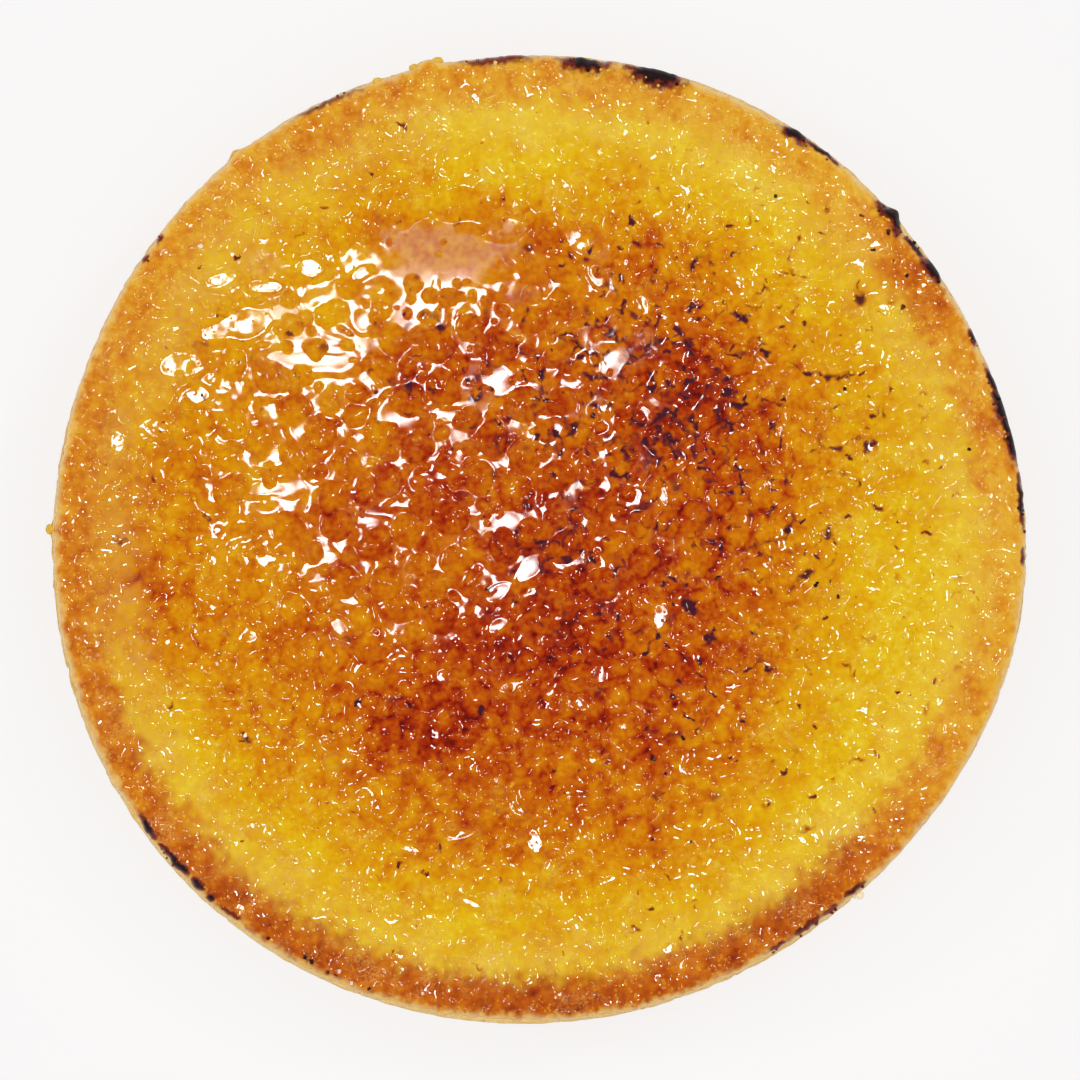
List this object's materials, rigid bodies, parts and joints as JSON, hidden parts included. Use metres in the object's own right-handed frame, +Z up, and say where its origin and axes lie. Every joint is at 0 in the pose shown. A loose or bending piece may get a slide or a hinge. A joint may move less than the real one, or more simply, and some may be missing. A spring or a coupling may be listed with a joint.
{
  "type": "orange tart",
  "caption": "Round straight-sided pastry tart for one, filled to the brim with orange custard under a blistered sheet of burnt-sugar caramel.",
  "frame": {"origin": "middle of the base, on the surface that the tart stands on", "axes": "+Z up through the tart; +X and +Y lie in the base, with the largest caramel bubbles towards -X and +Y"},
  "size_m": [0.0974, 0.0968, 0.0216],
  "materials": {
    "pastry": "golden baked shortcrust, dry and finely crumbly",
    "custard": "smooth set egg-yellow custard",
    "caramel": "glassy caramelised sugar, amber to burnt, with scorched specks"
  },
  "bodies": {
    "root": {"pastry_case": "pastry", "custard_filling": "custard", "caramel_top": "caramel"}
  },
  "joints": []
}
